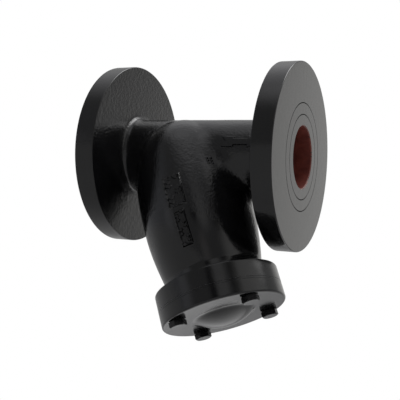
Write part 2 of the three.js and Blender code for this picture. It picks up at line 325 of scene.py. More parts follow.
def body_field(points):
    """The outer skin of the casting. The flanges' rims and faces are oversize and are cut later."""
    x = points[:, 0]
    pipe_radius = np.hypot(points[:, 1], points[:, 2])
    down, radius, outward = leg_coordinates(points)
    barrel = pipe_radius - BARREL_RADIUS

    side_radius, slope = leg_radius(down)
    side = (radius - side_radius) / np.sqrt(1 + slope**2)
    to_centre = np.hypot(radius, down - SHOULDER_CENTRE)
    leg = np.where(down < SHOULDER_END, to_centre - SHOULDER_RADIUS, side)
    leg = np.maximum(leg, down - (LEG_FLANGE_FACE - 4))

    # The blend is wide where the two surfaces cross and vanishes along the crown, where they are tangent.
    lift = np.where(down < SHOULDER_END, (down - SHOULDER_CENTRE) / np.maximum(to_centre, 1e-9), -slope)
    leg_normal = outward + lift[:, None] * LEG_DOWN
    alike = (leg_normal[:, 1:] * points[:, 1:]).sum(1) / np.maximum(pipe_radius, 1e-9)
    crossing = np.clip(1.4 * (1 - alike), 0, 1)
    skin = smooth_min(barrel, leg, LEG_BLEND * crossing)

    flange = disc(np.abs(x), pipe_radius, FLANGE_BACK, FLANGE_BACK + 20, FLANGE_RADIUS + 1.5)
    leg_flange = disc(down, radius, LEG_FLANGE_BACK, LEG_FLANGE_FACE + 2, COVER_RADIUS + 1)
    skin = smooth_min(skin, flange, FLANGE_FILLET)
    skin = smooth_min(skin, leg_flange, LEG_FLANGE_FILLET) + unevenness(points)
    return np.maximum(skin, np.abs(x) - HALF_LENGTH - 3)


def unevenness(points):
    """The slight waviness of a sand casting, which fades out towards the flanges' back faces."""
    height, fade_from, fade_over = 0.06, FLANGE_BACK - 6, 8.0
    x, y, z = points.T
    wave = np.sin(x / 6.1 + 0.7) * np.sin(y / 5.3 + z / 9.7)
    wave += np.sin(z / 7.3 + 2.1) * np.sin(x / 8.9 - y / 6.7)
    return height * wave * np.clip((fade_from - np.abs(x)) / fade_over, 0, 1)


def cavity_field(points):
    """The water spaces: one from the inlet to the seat, one from around the screen to the outlet."""
    neck_from, neck_over = NECK_AT - 16, 14.0
    x = points[:, 0]
    down, radius, _ = leg_coordinates(points)
    bore = np.hypot(points[:, 1], points[:, 2]) - (BORE_RADIUS - 0.1)

    over_screen = smooth_min(x - LEG_ORIGIN[0], radius - BORE_RADIUS, 4.0)
    inlet = smooth_max(smooth_max(bore, over_screen, 3.0), down - SEAT_TOP, 1.5)

    room, _ = leg_radius(down)
    neck = np.clip((down - neck_from) / neck_over, 0, 1)
    neck = neck * neck * (3 - 2 * neck)
    wall = (room - LEG_WALL) * (1 - neck) + MOUTH_RADIUS * neck
    leg_room = smooth_max(radius - wall, SEAT_BOTTOM - down, 6.0)

    past_elbow = smooth_min(ELBOW_RADIUS - radius, SEAT_BOTTOM - down, 3.0)
    outlet = smooth_max(smooth_max(bore, LEG_ORIGIN[0] - x, 3.0), past_elbow, 3.0)
    spaces = np.minimum(inlet, smooth_min(leg_room, outlet, 4.0))
    return np.maximum(np.maximum(spaces, np.abs(x) - HALF_LENGTH - 3), down - LEG_FLANGE_FACE - 3)


def gradient(field, points, step=0.05):
    """Central differences of a field."""
    slopes = []
    for axis in range(3):
        offset = np.zeros(3)
        offset[axis] = step
        slopes.append((field(points + offset) - field(points - offset)) / (2 * step))
    return np.stack(slopes, 1)


def project(field, points, rounds=3):
    """Moves points onto the zero surface of a field."""
    for _ in range(rounds):
        slope = gradient(field, points)
        scale = field(points) / np.maximum((slope**2).sum(1), 0.2)
        points = points - np.clip(scale, -1.5, 1.5)[:, None] * slope
    return points


def sample(field, low, high, step):
    """The field's values on a regular grid in a box."""
    axes = [np.arange(a, b + step, step) for a, b in zip(low, high)]
    y, z = np.meshgrid(axes[1], axes[2], indexing="ij")
    slabs = []
    for x in axes[0]:
        slab = np.stack([np.full(y.size, x), y.ravel(), z.ravel()], 1)
        slabs.append(field(slab).reshape(y.shape))
    return np.array(slabs)


def untangle(values):
    """Flips the least value of each grid square whose corners alternate in sign, so that no two sheets of
    the surface share an edge."""
    shape = values.shape
    tangled = True
    while tangled:
        tangled = False
        for axis in range(3):
            b, c = [np.eye(3, dtype=int)[a] for a in range(3) if a != axis]
            corners = [0 * b, b, b + c, c]
            spare = b + c
            signs = []
            for corner in corners:
                span = tuple(slice(o, n - e + o) for o, n, e in zip(corner, shape, spare))
                signs.append(values[span] < 0)
            odd = (signs[0] == signs[2]) & (signs[1] == signs[3]) & (signs[0] != signs[1])
            for place in np.argwhere(odd):
                square = [tuple(place + corner) for corner in corners]
                least = min(square, key=lambda at: abs(values[at]))
                values[least] = -0.01 * np.sign(values[least])
                tangled = True


def surface_net(field, low, high, step):
    """Points and quads of the zero surface of a field inside a box, by surface nets on a regular grid."""
    values = sample(field, low, high, step)
    untangle(values)
    shape = values.shape
    inside = values < 0
    cells = tuple(n - 1 for n in shape)
    total = np.zeros(cells + (3,))
    count = np.zeros(cells, int)
    crossings = []
    for axis in range(3):
        first = [slice(0, -1) if a == axis else slice(1, -1) for a in range(3)]
        second = [slice(1, None) if a == axis else slice(1, -1) for a in range(3)]
        flips = inside[tuple(first)] != inside[tuple(second)]
        at = np.argwhere(flips)
        at[:, [a for a in range(3) if a != axis]] += 1
        end = at.copy()
        end[:, axis] += 1
        start_value, end_value = values[tuple(at.T)], values[tuple(end.T)]
        where = at.astype(float)
        where[:, axis] += start_value / (start_value - end_value)
        b, c = [a for a in range(3) if a != axis]
        around = []
        for db, dc in ((-1, -1), (0, -1), (0, 0), (-1, 0)):
            cell = at.copy()
            cell[:, b] += db
            cell[:, c] += dc
            np.add.at(total, tuple(cell.T), where)
            np.add.at(count, tuple(cell.T), 1)
            around.append(cell)
        crossings.append((np.stack(around, 1), start_value < 0, axis))
    used = count > 0
    number = np.full(cells, -1)
    number[used] = np.arange(used.sum())
    points = total[used] / count[used][:, None] * step + np.array(low)
    quads = []
    for around, outward, axis in crossings:
        quad = number[tuple(np.moveaxis(around, -1, 0))]
        flip = outward if axis == 1 else ~outward
        quad[flip] = quad[flip][:, ::-1]
        quads.append(quad)
    return project(field, points), np.concatenate(quads)


# ---- Raised cast marks ---------------------------------------------------------------------------


def bar_distance(s, t, start, end, half):
    """Distance to a bar that runs along s."""
    return rectangle(s, t, ((start + end) / 2, 0.0), ((end - start) / 2, half))


def lozenge_distance(s, t, centre, half):
    """Roughly the distance to a lozenge in a plane."""
    return (np.abs(s - centre[0]) / half[0] + np.abs(t - centre[1]) / half[1] - 1) * min(half)


def arrow_distance(s, t):
    """Distance to the flow arrow: a notched tail, a shaft and a head."""
    head_from, tip = ARROW_HEAD
    head = np.maximum(np.abs(t) * 0.86 - (tip - s) * 0.5, head_from - s)
    shaft = bar_distance(s, t, *ARROW_SHAFT, ARROW_SHAFT_HALF)
    notch = ARROW_NOTCH - s - np.abs(t) * 0.7
    tail = np.maximum(bar_distance(s, t, *ARROW_TAIL, ARROW_TAIL_HALF), notch)
    return np.minimum(np.minimum(shaft, head), tail)


def plate_distance(s, t, start, end, width, rows):
    """Distance to a thin raised frame that holds staggered small lozenges. s runs along the frame."""
    line_half = 0.6
    stagger = 0.22
    gap = (end - start) / rows
    lozenge = (0.34 * gap, 0.2 * width)
    shapes = np.abs(bar_distance(s, t, start, end, width / 2) + line_half) - line_half
    for row in range(rows):
        lean = stagger if row % 2 else -stagger
        for side in (-1, 1):
            centre = (start + gap * (row + 0.5 + side * lean), side * stagger * width)
            shapes = np.minimum(shapes, lozenge_distance(s, t, centre, lozenge))
    return shapes


def bead_distance(down, around):
    """Distance to a slanted group of beads, three rows of two."""
    row_gap, column_gap = BEADS_GAP
    beads = []
    for row in (-1, 0, 1):
        for column in (-1, 1):
            slant = column * column_gap / 3
            to_bead = np.hypot(down - row * row_gap - slant, around - column * column_gap)
            beads.append(to_bead - BEAD_RADIUS)
    return np.min(beads, axis=0)


def marks_distance(points):
    """Distance in plan to the nearest cast mark, large away from the near side of the body."""
    x, y, z = points.T
    down, _, _ = leg_coordinates(points)
    across = (points - LEG_ORIGIN) @ LEG_ACROSS
    around = (np.arctan2(across, -y) - math.radians(BEADS_ANGLE)) * BEADS_LEG_RADIUS
    marks = [
        arrow_distance(x, z - ARROW_LIFT),
        plate_distance(down, across - UPPER_PLATE_ACROSS, **UPPER_PLATE),
        plate_distance(down, across - LOWER_PLATE_ACROSS, **LOWER_PLATE),
        bead_distance(down - BEADS_DOWN, around),
    ]
    out_of_reach = np.where((y < -15) & (np.abs(x) < FLANGE_BACK - 10), 0.0, 50.0)
    return np.min(marks, axis=0) + out_of_reach


def marked_field(points):
    """The skin with its cast marks, which stand about a millimetre proud with soft edges."""
    edge = np.clip(0.5 - marks_distance(points) / MARK_EDGE, 0, 1)
    return body_field(points) - MARK_HEIGHT * edge * edge * (3 - 2 * edge)


def refine_marks(skin):
    """Splits the faces near the marks and lays them on the marked skin."""
    split_within, lay_within = 1.6, 3.5
    centres = np.array([p.center for p in skin.data.polygons]) / MM
    near = np.flatnonzero(marks_distance(centres) < split_within)
    mesh = bmesh.new()
    mesh.from_mesh(skin.data)
    mesh.faces.ensure_lookup_table()
    edges = list({e for i in near for e in mesh.faces[int(i)].edges})
    bmesh.ops.subdivide_edges(mesh, edges=edges, cuts=3, use_grid_fill=True)
    mesh.to_mesh(skin.data)
    mesh.free()
    points = np.array([v.co for v in skin.data.vertices]) / MM
    touched = marks_distance(points) < lay_within
    points[touched] = project(marked_field, points[touched])
    skin.data.vertices.foreach_set("co", (points * MM).astype(np.float32).ravel())
    skin.data.update()


# ---- Materials -----------------------------------------------------------------------------------


class Shader:
    """A node material under construction, with short ways to add the nodes that these materials share."""

    def __init__(self, name, **sockets):
        self.material = bpy.data.materials.new(name)
        self.material.use_nodes = True
        self.tree = self.material.node_tree
        self.surface = self.tree.nodes["Principled BSDF"]
        for socket, value in sockets.items():
            self.surface.inputs[socket.replace("_", " ")].default_value = value
        self.place = self.node("ShaderNodeTexCoord").outputs["Object"]

    def node(self, kind, **inputs):
        """A new node. Each input is a socket or a value, and its name has underscores for spaces."""
        made = self.tree.nodes.new(kind)
        for socket, value in inputs.items():
            self.feed(made.inputs[socket.replace("_", " ")], value)
        return made

    def feed(self, socket, value):
        """Joins another socket to this one, or sets its value."""
        if isinstance(value, bpy.types.NodeSocket):
            self.tree.links.new(value, socket)
        else:
            socket.default_value = value

    def noise(self, size_mm, detail=3.0, roughness=0.5):
        """A noise from 0 to 1 whose features are about size_mm across."""
        made = self.node("ShaderNodeTexNoise", Vector=self.place, Detail=detail, Roughness=roughness)
        made.inputs["Scale"].default_value = 1 / (size_mm * MM)
        return made.outputs["Fac"]

    def range(self, value, low, high):
        """The usual spread of a noise, stretched to run from low to high."""
        spread = {"From_Min": 0.3, "From_Max": 0.7, "To_Min": low, "To_Max": high}
        return self.node("ShaderNodeMapRange", Value=value, **spread).outputs["Result"]

    def mix(self, factor, first, second):
        """A colour between two colours."""
        made = self.tree.nodes.new("ShaderNodeMix")
        made.data_type = "RGBA"
        self.feed(made.inputs["Factor"], factor)
        self.feed(made.inputs[6], first)
        self.feed(made.inputs[7], second)
        return made.outputs[2]

    def bump(self, height, distance_mm, after=None):
        """A bump map on top of another one, if there is one."""
        made = self.node("ShaderNodeBump", Height=height, Strength=1.0, Distance=distance_mm * MM)
        if after is not None:
            self.feed(made.inputs["Normal"], after)
        return made.outputs["Normal"]

    def finish(self, colour, roughness=None, normal=None):
        """Joins the nodes to the surface and gives the material."""
        for socket, value in (("Base Color", colour), ("Roughness", roughness), ("Normal", normal)):
            if value is not None:
                self.feed(self.surface.inputs[socket], value)
        return self.material


def cast_enamel():
    """Gloss black enamel, sprayed over a sand casting."""
    s = Shader("cast enamel", IOR=1.5)
    shade_of = s.mix(s.noise(14), (0.003, 0.003, 0.0034, 1), (0.006, 0.006, 0.0066, 1))
    rough = s.range(s.noise(5, 4), 0.07, 0.13)
    peel = s.bump(s.noise(4.5, 2), 0.18)
    grain = s.bump(s.noise(2.1, 3, 0.6), 0.27, after=peel)
    return s.finish(shade_of, rough, grain)


def faced_enamel():
    """The same enamel over a turned face, which is smooth under it."""
    s = Shader("faced enamel", IOR=1.5)
    shade_of = s.mix(s.noise(20), (0.002, 0.002, 0.0022, 1), (0.0036, 0.0036, 0.0039, 1))
    rough = s.range(s.noise(6, 4), 0.13, 0.19)
    peel = s.bump(s.noise(6, 2), 0.05)
    fine = s.bump(s.noise(1.3, 2), 0.02, after=peel)
    return s.finish(shade_of, rough, fine)


def red_primer():
    """Dark red oxide primer inside the waterway, thin enough to show its brush and flow marks."""
    s = Shader("red oxide primer", IOR=1.45)
    patches = s.noise(9, 5, 0.6)
    shade_of = s.mix(s.range(patches, 0, 1), (0.105, 0.02, 0.014, 1), (0.19, 0.041, 0.027, 1))
    rough = s.range(s.noise(4, 4), 0.42, 0.62)
    grain = s.bump(s.noise(1.1, 4, 0.6), 0.12)
    return s.finish(shade_of, rough, grain)


def bare_iron():
    """Freshly machined cast iron: the joint faces under the gasket."""
    s = Shader("machined iron", Metallic=1.0)
    shade_of = s.mix(s.noise(1.2, 4, 0.7), (0.16, 0.16, 0.165, 1), (0.27, 0.27, 0.275, 1))
    rough = s.range(s.noise(3, 4), 0.34, 0.5)
    grain = s.bump(s.noise(0.35, 2), 0.02)
    return s.finish(shade_of, rough, grain)


def bolt_black():
    """Blackened steel bolts under a thin coat of the body's paint."""
    s = Shader("blackened bolt steel", IOR=1.3)
    shade_of = s.mix(s.noise(2.5, 4), (0.003, 0.003, 0.0032, 1), (0.007, 0.007, 0.0074, 1))
    rough = s.range(s.noise(1.8, 4), 0.2, 0.34)
    grain = s.bump(s.noise(0.9, 3), 0.02)
    return s.finish(shade_of, rough, grain)


def gasket_fibre():
    """Graphite-black pressed fibre sheet."""
    s = Shader("gasket fibre")
    fibres = s.noise(0.8, 5, 0.7)
    shade_of = s.mix(s.range(fibres, 0, 1), (0.018, 0.018, 0.017, 1), (0.05, 0.049, 0.046, 1))
    return s.finish(shade_of, s.range(s.noise(2), 0.7, 0.9), s.bump(fibres, 0.08))


def stainless_sheet():
    """Rolled stainless sheet with faint scratches."""
    s = Shader("stainless sheet", Metallic=1.0)
    shade_of = s.mix(s.noise(7, 4), (0.5, 0.49, 0.47, 1), (0.62, 0.61, 0.59, 1))
    rough = s.range(s.noise(2.5, 5, 0.7), 0.2, 0.38)
    grain = s.bump(s.noise(0.6, 4, 0.7), 0.012)
    return s.finish(shade_of, rough, grain)


def woven_wire():
    """Fine stainless wire, dulled."""
    s = Shader("woven wire", Metallic=1.0)
    shade_of = s.mix(s.noise(5, 4), (0.34, 0.335, 0.32, 1), (0.46, 0.455, 0.44, 1))
    return s.finish(shade_of, s.range(s.noise(1.5), 0.3, 0.46), s.bump(s.noise(0.3), 0.01))


def pale_floor():
    """Matt light grey, slightly uneven."""
    s = Shader("pale floor", Roughness=0.6)
    return s.finish(s.mix(s.noise(300), (0.44, 0.44, 0.44, 1), (0.47, 0.47, 0.47, 1)))


ENAMEL = cast_enamel()
FACED = faced_enamel()
PRIMER = red_primer()
BARE_IRON = bare_iron()
BOLT_BLACK = bolt_black()
GASKET = gasket_fibre()
STAINLESS = stainless_sheet()
WIRE = woven_wire()


def paint(built, materials, choose=None):
    """Gives a mesh its materials; choose maps the faces' centres in millimetres to material numbers."""
    built.data.materials.clear()
    for material in materials:
        built.data.materials.append(material)
    count = len(built.data.polygons)
    numbers = np.zeros(count, np.int32)
    if choose is not None:
        centres = np.zeros(count * 3, np.float32)
        built.data.polygons.foreach_get("center", centres)
        numbers = choose(centres.reshape(-1, 3).astype(float) / MM).astype(np.int32)
    built.data.polygons.foreach_set("material_index", numbers)


# ---- Body ----------------------------------------------------------------------------------------


def past_edge(point):
    """Straight on for 2 mm from the end of a broken edge, to where a cutter is clear of the casting."""
    turn = math.radians(EDGE_TURN)
    return point[0] - 2 * math.sin(turn), point[1] - 2 * math.cos(turn)


def pipe_envelope():
    """What the pipe flanges are cut to: rims, edges, faces and grooves. Elsewhere it is wide open."""
    half = [(0.0, HALF_LENGTH)]
    for groove in GROOVE_RADII:
        half += [(groove - GROOVE_HALF_WIDTH, HALF_LENGTH), (groove, HALF_LENGTH - GROOVE_DEPTH)]
        half += [(groove + GROOVE_HALF_WIDTH, HALF_LENGTH)]
    half += arc(FLANGE_RADIUS - EDGE_BREAK, HALF_LENGTH - EDGE_BREAK, EDGE_BREAK, 90, 0, 4)
    back = arc(FLANGE_RADIUS - EDGE_BREAK, FLANGE_BACK + EDGE_BREAK, EDGE_BREAK, 0, -EDGE_TURN, 3)
    clear = past_edge(back[-1])
    open_radius = FLANGE_RADIUS + 4
    half += back + [clear, (open_radius, clear[1])]
    half += [(open_radius, CLEAR_LENGTH), (CLEAR_RADIUS, CLEAR_LENGTH)]
    profile = [(r, -y) for r, y in half] + half[::-1]
    points, faces = turned(profile, 256)
    return make_object("pipe envelope", on_pipe(points), faces)


def leg_envelope():
    """What the leg flange is cut to. It is wide open above the flange."""
    back = arc(COVER_RADIUS - EDGE_BREAK, LEG_FLANGE_BACK + EDGE_BREAK, EDGE_BREAK, -EDGE_TURN, 0, 3)
    clear = past_edge(back[0])
    profile = [(0.0, -CLEAR_LENGTH), (CLEAR_RADIUS, -CLEAR_LENGTH), (CLEAR_RADIUS, clear[1]), clear]
    profile += back
    profile += arc(COVER_RADIUS - SEAM_EDGE, LEG_FLANGE_FACE - SEAM_EDGE, SEAM_EDGE, 0, 90, 3)
    profile += [(0.0, LEG_FLANGE_FACE)]
    points, faces = turned(profile, 192)
    return make_object("leg envelope", on_leg(points), faces)


def bore_tool(sign):
    """The straight mouth of the waterway, with its edge broken."""
    start, past = 76.0, 1.4
    profile = [(0, start), (BORE_RADIUS, start), (BORE_RADIUS, HALF_LENGTH - BORE_CHAMFER)]
    profile += [(BORE_RADIUS + BORE_CHAMFER + past, HALF_LENGTH + past), (0, HALF_LENGTH + past)]
    if sign < 0:
        profile = [(r, -y) for r, y in profile][::-1]
    points, faces = turned(profile)
    return make_object("bore tool", on_pipe(points), faces)


def seat_tool():
    """The machined hole of the seat ring and the recess for the screen's top ring."""
    start, end = SEAT_TOP - 2, SEAT_BOTTOM + 2
    profile = [(0, start), (SEAT_HOLE_RADIUS, start), (SEAT_HOLE_RADIUS, SEAT_REST)]
    profile += [(RECESS_RADIUS, SEAT_REST), (RECESS_RADIUS, end), (0, end)]
    points, faces = turned(profile)
    return make_object("seat tool", on_leg(points), faces)


def body_materials(centres):
    """Material numbers of the casting's faces, in the order in which build_body gives the materials."""
    as_cast, turned_face, waterway, joint = range(4)
    down, radius, _ = leg_coordinates(centres)
    along = np.abs(centres[:, 0])
    pipe_radius = np.hypot(centres[:, 1], centres[:, 2])
    numbers = np.full(len(centres), as_cast)
    numbers[(along > HALF_LENGTH - 0.7) | (pipe_radius > FLANGE_RADIUS - 0.5)] = turned_face
    numbers[(down > LEG_FLANGE_BACK) & (radius > COVER_RADIUS - 0.5)] = turned_face
    numbers[down > LEG_FLANGE_FACE - 0.05] = joint
    seat = (down > SEAT_TOP - 1) & (down < SEAT_BOTTOM + 1) & (radius < RECESS_RADIUS + 0.5)
    wet = (cavity_field(centres) < 0.6) & (along < HALF_LENGTH - 0.1) & (down < LEG_FLANGE_FACE - 0.2)
    numbers[wet | seat] = waterway
    return numbers


def build_body():
    """The casting: its marked skin, cut to its flanges, then hollowed, bored and tapped."""
    skin_step, cavity_step = 1.3, 1.6
    low = (-HALF_LENGTH - 5, -FLANGE_RADIUS - 5, -160.0)
    high = (HALF_LENGTH + 5, FLANGE_RADIUS + 5, FLANGE_RADIUS + 5)
    body = make_object("cast_body", *surface_net(body_field, low, high, skin_step))
    refine_marks(body)
    carve(body, pipe_envelope(), "INTERSECT")
    carve(body, leg_envelope(), "INTERSECT")
    low = (-HALF_LENGTH - 6, -50.0, -160.0)
    high = (HALF_LENGTH + 6, 50.0, 50.0)
    carve(body, make_object("cavity", *surface_net(cavity_field, low, high, cavity_step)))
    for sign in (-1, 1):
        carve(body, bore_tool(sign))
    carve(body, seat_tool())
    for across, side in bolt_places():
        carve(body, hole_tool(TAPPED_RADIUS, TAPPED_FROM, LEG_FLANGE_FACE, across, side, TAPPED_CHAMFER))
    paint(body, [ENAMEL, FACED, PRIMER, BARE_IRON], body_materials)
    shade(body)
    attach(body, "body")
    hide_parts("body_casting")


# ---- Cover, gasket and bolts ---------------------------------------------------------------------


def dome_profile():
    """The outside of the cover from its flat face up over the dome, with a soft foot."""
    sphere = (DOME_RADIUS**2 + DOME_HEIGHT**2) / (2 * DOME_HEIGHT)
    foot = np.linspace(DOME_FOOT, 22, 12)
    crown = np.linspace(20.5, 0, 16)
    radii = np.concatenate([foot, crown])
    cap = np.sqrt(sphere**2 - radii**2) - (sphere - DOME_HEIGHT)
    height = smooth_max(cap, np.zeros_like(cap), DOME_FOOT_BLEND)
    height[0] = 0.0
    return [(float(r), float(COVER_OUTER + h)) for r, h in zip(radii, height)]


def hollow_height(radius):
    """How far down the leg the cover's inside lies: a flat ring for the screen, and a hollow in it."""
    floor = COVER_INNER + COVER_RECESS
    depth = COVER_OUTER + DOME_HEIGHT - DOME_WALL - floor
    sphere = (HOLLOW_RADIUS**2 + depth**2) / (2 * depth)
    return floor + np.maximum(np.sqrt(np.maximum(sphere**2 - radius**2, 0)) - (sphere - depth), 0)


def cover_materials(centres):
    """Material numbers of the cover's faces, in the order in which build_cover gives the materials."""
    outside, hollow, joint = range(3)
    down, radius, _ = leg_coordinates(centres)
    numbers = np.full(len(centres), outside)
    numbers[(radius < RECESS_RADIUS + 0.1) & (down < hollow_height(radius) + 0.3)] = hollow
    numbers[down < COVER_INNER + 0.05] = joint
    return numbers


def build_cover():
    """The round cover with its dome, its recess for the screen and its bolt holes."""
    profile = [(float(r), float(hollow_height(r))) for r in np.linspace(0, HOLLOW_RADIUS, 14)]
    profile += [(RECESS_RADIUS, COVER_INNER + COVER_RECESS), (RECESS_RADIUS, COVER_INNER)]
    profile += [(COVER_RADIUS - SEAM_EDGE, COVER_INNER), (COVER_RADIUS, COVER_INNER + SEAM_EDGE)]
    profile += arc(COVER_RADIUS - COVER_EDGE, COVER_OUTER - COVER_EDGE, COVER_EDGE, 0, 90, 6)
    points, faces = turned(profile + dome_profile(), 192)
    cover = make_object("domed_cover", on_leg(points), faces)
    for across, side in bolt_places():
        carve(cover, hole_tool(CLEARANCE_RADIUS, COVER_INNER - 1, COVER_OUTER + 1, across, side))
    paint(cover, [FACED, PRIMER, BARE_IRON], cover_materials)
    shade(cover)
    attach(cover, "cover")
    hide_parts("strainer_cover")


def gasket_materials(centres):
    """Material numbers of the gasket's faces: bare fibre, and enamel where the spray reached its edge."""
    _, radius, _ = leg_coordinates(centres)
    return radius > COVER_RADIUS - 1.0


def build_gasket():
    """The flat gasket, a little smaller than the cover, with its bolt holes."""
    soft = 0.15
    outer = COVER_RADIUS - soft
    profile = [(MOUTH_RADIUS, GASKET_FROM), (outer - soft, GASKET_FROM), (outer, GASKET_FROM + soft)]
    profile += [(outer, GASKET_TO - soft), (outer - soft, GASKET_TO), (MOUTH_RADIUS, GASKET_TO)]
    points, faces = turned(profile, 128)
    gasket = make_object("joint_gasket", on_leg(points), faces)
    for across, side in bolt_places():
        carve(gasket, hole_tool(CLEARANCE_RADIUS, GASKET_FROM - 1, GASKET_TO + 1, across, side))
    paint(gasket, [GASKET, FACED], gasket_materials)
    shade(gasket)
    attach(gasket, "gasket")
    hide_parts("cover_gasket")


def bolt_materials(centres):
    """Material numbers of a bolt's faces: blackened steel, and enamel on the crown of the head."""
    down, _, _ = leg_coordinates(centres)
    return down > BOLT_HEAD_FROM + BOLT_HEAD_HEIGHT - 0.2


def thread_rings(segments):
    """Rings of the bolt's thread, which starts at a pointed tip and runs out into the plain shank."""
    turn = np.arange(segments) / segments
    thread_end = BOLT_HEAD_FROM - BOLT_PLAIN_LENGTH
    point_radius = 2.7
    rows = []
    for y in np.arange(BOLT_TIP, thread_end, BOLT_PITCH / 8):
        phase = ((y - BOLT_TIP) / BOLT_PITCH - turn) % 1.0
        crest = np.clip(np.abs(phase - 0.5) * 4 - 0.5, 0, 1)
        runout = min(1.0, (thread_end - y) / BOLT_PITCH)
        radii = BOLT_RADIUS - BOLT_THREAD_DEPTH * (1 - crest) * runout
        point = min(BOLT_RADIUS, point_radius + y - BOLT_TIP)
        rows.append((np.minimum(radii, point), np.full(segments, y)))
    return rows


def head_rings(segments):
    """Rings of the shank and of the hexagon head, whose corners are turned down at 30 degrees."""
    plain = np.ones(segments)
    flat = BOLT_ACROSS_FLATS / 2
    from_flat = (np.arange(segments) * 6 / segments % 1.0 - 0.5) * math.pi / 3
    hexagon = flat / np.cos(from_flat)
    circle = flat * 0.97
    top = BOLT_HEAD_FROM + BOLT_HEAD_HEIGHT
    shoulder = top - (hexagon - circle) * math.tan(math.radians(30))
    return [
        (plain * BOLT_RADIUS, plain * (BOLT_HEAD_FROM - BOLT_PLAIN_LENGTH)),
        (plain * BOLT_RADIUS, plain * BOLT_HEAD_FROM),
        (plain * (flat - 0.3), plain * BOLT_HEAD_FROM),
        (plain * (flat - 0.3), plain * (BOLT_HEAD_FROM + 0.3)),
        (hexagon - 0.15, plain * (BOLT_HEAD_FROM + 0.3)),
        (hexagon, plain * (BOLT_HEAD_FROM + 0.5)),
        (hexagon, shoulder - 0.2),
        (hexagon - 0.12, shoulder - 0.02),
        (plain * circle, plain * (top - 0.05)),
        (plain * (circle - 0.4), plain * top),
    ]


def build_bolt(number, across, side):
    """One hexagon-head bolt."""
    segments = 48
    turn = np.arange(segments) * 2 * math.pi / segments
    rows = thread_rings(segments) + head_rings(segments)
    points = [np.stack([r * np.sin(turn), y, r * np.cos(turn)], 1) for r, y in rows]
    points.append(np.array([[0, BOLT_TIP, 0], [0, BOLT_HEAD_FROM + BOLT_HEAD_HEIGHT, 0]]))
    faces = ring_faces(len(rows), segments, closed=False)
    tip = len(rows) * segments
    crown, top = tip + 1, tip - segments
    for j in range(segments):
        k = (j + 1) % segments
        faces.append((tip, k, j))
        faces.append((crown, top + j, top + k))
    placed = np.concatenate(points) + np.array([across, 0, side])
    bolt = make_object(f"hex_bolt_{number}", on_leg(placed), faces)
    paint(bolt, [BOLT_BLACK, FACED], bolt_materials)
    shade(bolt, 26)
    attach(bolt, f"bolt_{number}")
    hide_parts(f"cover_bolt_{number}")


# ---- Screen --------------------------------------------------------------------------------------


def build_band(name, node, end, inwards):
    """An end ring of the screen: a sleeve outside the tube, rolled over the tube's end."""
    sheet, soft, bevel = 1.6, 0.5, 0.3
    inner, sleeve, outer = 26.4, SCREEN_RADIUS + 0.3, BAND_RADIUS
    profile = [(inner + bevel, 0.0)] + arc(outer - soft, soft, soft, -90, 0, 4)
    profile += [(outer, BAND_LENGTH - bevel), (outer - bevel, BAND_LENGTH)]
    profile += [(sleeve, BAND_LENGTH), (sleeve, sheet), (inner, sheet), (inner, bevel)]
    placed = [(r, end + inwards * y) for r, y in profile]
    points, faces = turned(placed if inwards > 0 else placed[::-1], 144)
    band = make_object(name, on_leg(points), faces)
    paint(band, [STAINLESS])
    shade(band)
    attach(band, "screen")
    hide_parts(node)


def perforated_tile(hole_share, steps):
    """One tile of the sheet: pairs of points on the tile's edge and on its round hole, in tile units."""
    edge = []
    for turn in range(4):
        for i in range(steps):
            x, y = i / steps - 0.5, -0.5
            for _ in range(turn):
                x, y = -y, x
            edge.append((x, y))
    hole = [(hole_share * x / math.hypot(x, y), hole_share * y / math.hypot(x, y)) for x, y in edge]
    return edge, hole


class Sheet:
    """A rolled sheet being built: points are shared by their place, and faces come in two layers."""

    def __init__(self, columns):
        self.columns = columns
        self.points = []
        self.faces = []
        self.number = {}

    def corner(self, u, y, layer):
        """The number of the point at column u and height y, on the outer layer 0 or the inner layer 1."""
        key = (round(u * 1000) % (self.columns * 1000), round(y * 1000), layer)
        if key not in self.number:
            self.number[key] = len(self.points)
            radius = SCREEN_RADIUS - layer * SCREEN_SHEET
            angle = 2 * math.pi * u / self.columns
            self.points.append((radius * math.cos(angle), y, radius * math.sin(angle)))
        return self.number[key]

    def patch(self, outline):
        """The two faces of the sheet over an outline, outer layer first."""
        self.faces.append([self.corner(u, y, 0) for u, y in outline])
        self.faces.append([self.corner(u, y, 1) for u, y in outline[::-1]])

    def wall(self, first, second):
        """A face through the sheet's thickness between two places on a cut edge."""
        outer = [self.corner(*first, 0), self.corner(*second, 0)]
        self.faces.append(outer + [self.corner(*second, 1), self.corner(*first, 1)])


